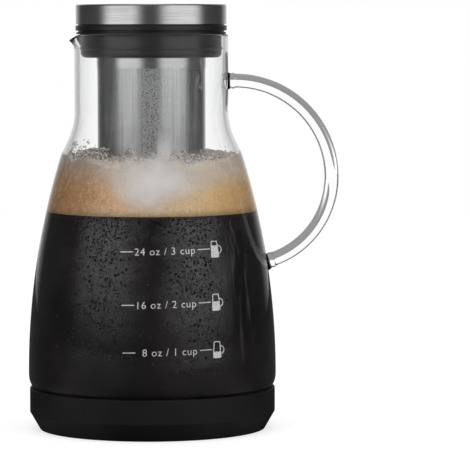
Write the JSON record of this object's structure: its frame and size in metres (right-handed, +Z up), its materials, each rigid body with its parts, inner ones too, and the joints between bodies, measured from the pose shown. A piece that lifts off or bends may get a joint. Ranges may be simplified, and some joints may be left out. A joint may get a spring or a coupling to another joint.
{
  "type": "cold brew coffee maker",
  "caption": "Tapered glass carafe with pouring lip and rod handle in a soft black boot, a fine mesh steel filter hung from a black collar, and a steel capped lid.",
  "frame": {"origin": "centre of the boot's flat underside, on the table and on the carafe's axis", "axes": "+Z up, +X towards the handle, -X towards the pouring lip; the printed volume marks face -Y"},
  "size_m": [0.1525, 0.1216, 0.2078],
  "materials": {
    "boot": "soft matte black silicone",
    "glass": "clear blown borosilicate glass",
    "collar": "satin black silicone",
    "filter_steel": "fine brushed stainless steel",
    "filter_mesh": "fine etched stainless steel mesh",
    "lid_black": "satin black moulded plastic",
    "gasket": "soft black silicone",
    "lid_steel": "stainless steel brushed round its side"
  },
  "bodies": {
    "boot": {"base_boot": "boot"},
    "carafe": {"carafe_glass": "glass", "handle_rod": "glass", "handle_weld_upper": "glass", "handle_weld_lower": "glass"},
    "filter": {"filter_collar": "collar", "filter_top_band": "filter_steel", "filter_mesh": "filter_mesh", "filter_seam": "filter_steel", "filter_bottom_cap": "filter_steel"},
    "lid": {"lid_core": "lid_black", "lid_plug": "lid_black", "lid_gasket": "gasket", "lid_cap": "lid_steel"}
  },
  "joints": [
    {"name": "carafe_lift", "type": "slide", "parent": "boot", "child": "carafe", "axis": [0, 0, 1], "range_m": [0, 0.03]},
    {"name": "filter_lift", "type": "slide", "parent": "carafe", "child": "filter", "axis": [0, 0, 1], "range_m": [0, 0.17]},
    {"name": "lid_lift", "type": "slide", "parent": "filter", "child": "lid", "axis": [0, 0, 1], "range_m": [0, 0.04]}
  ]
}
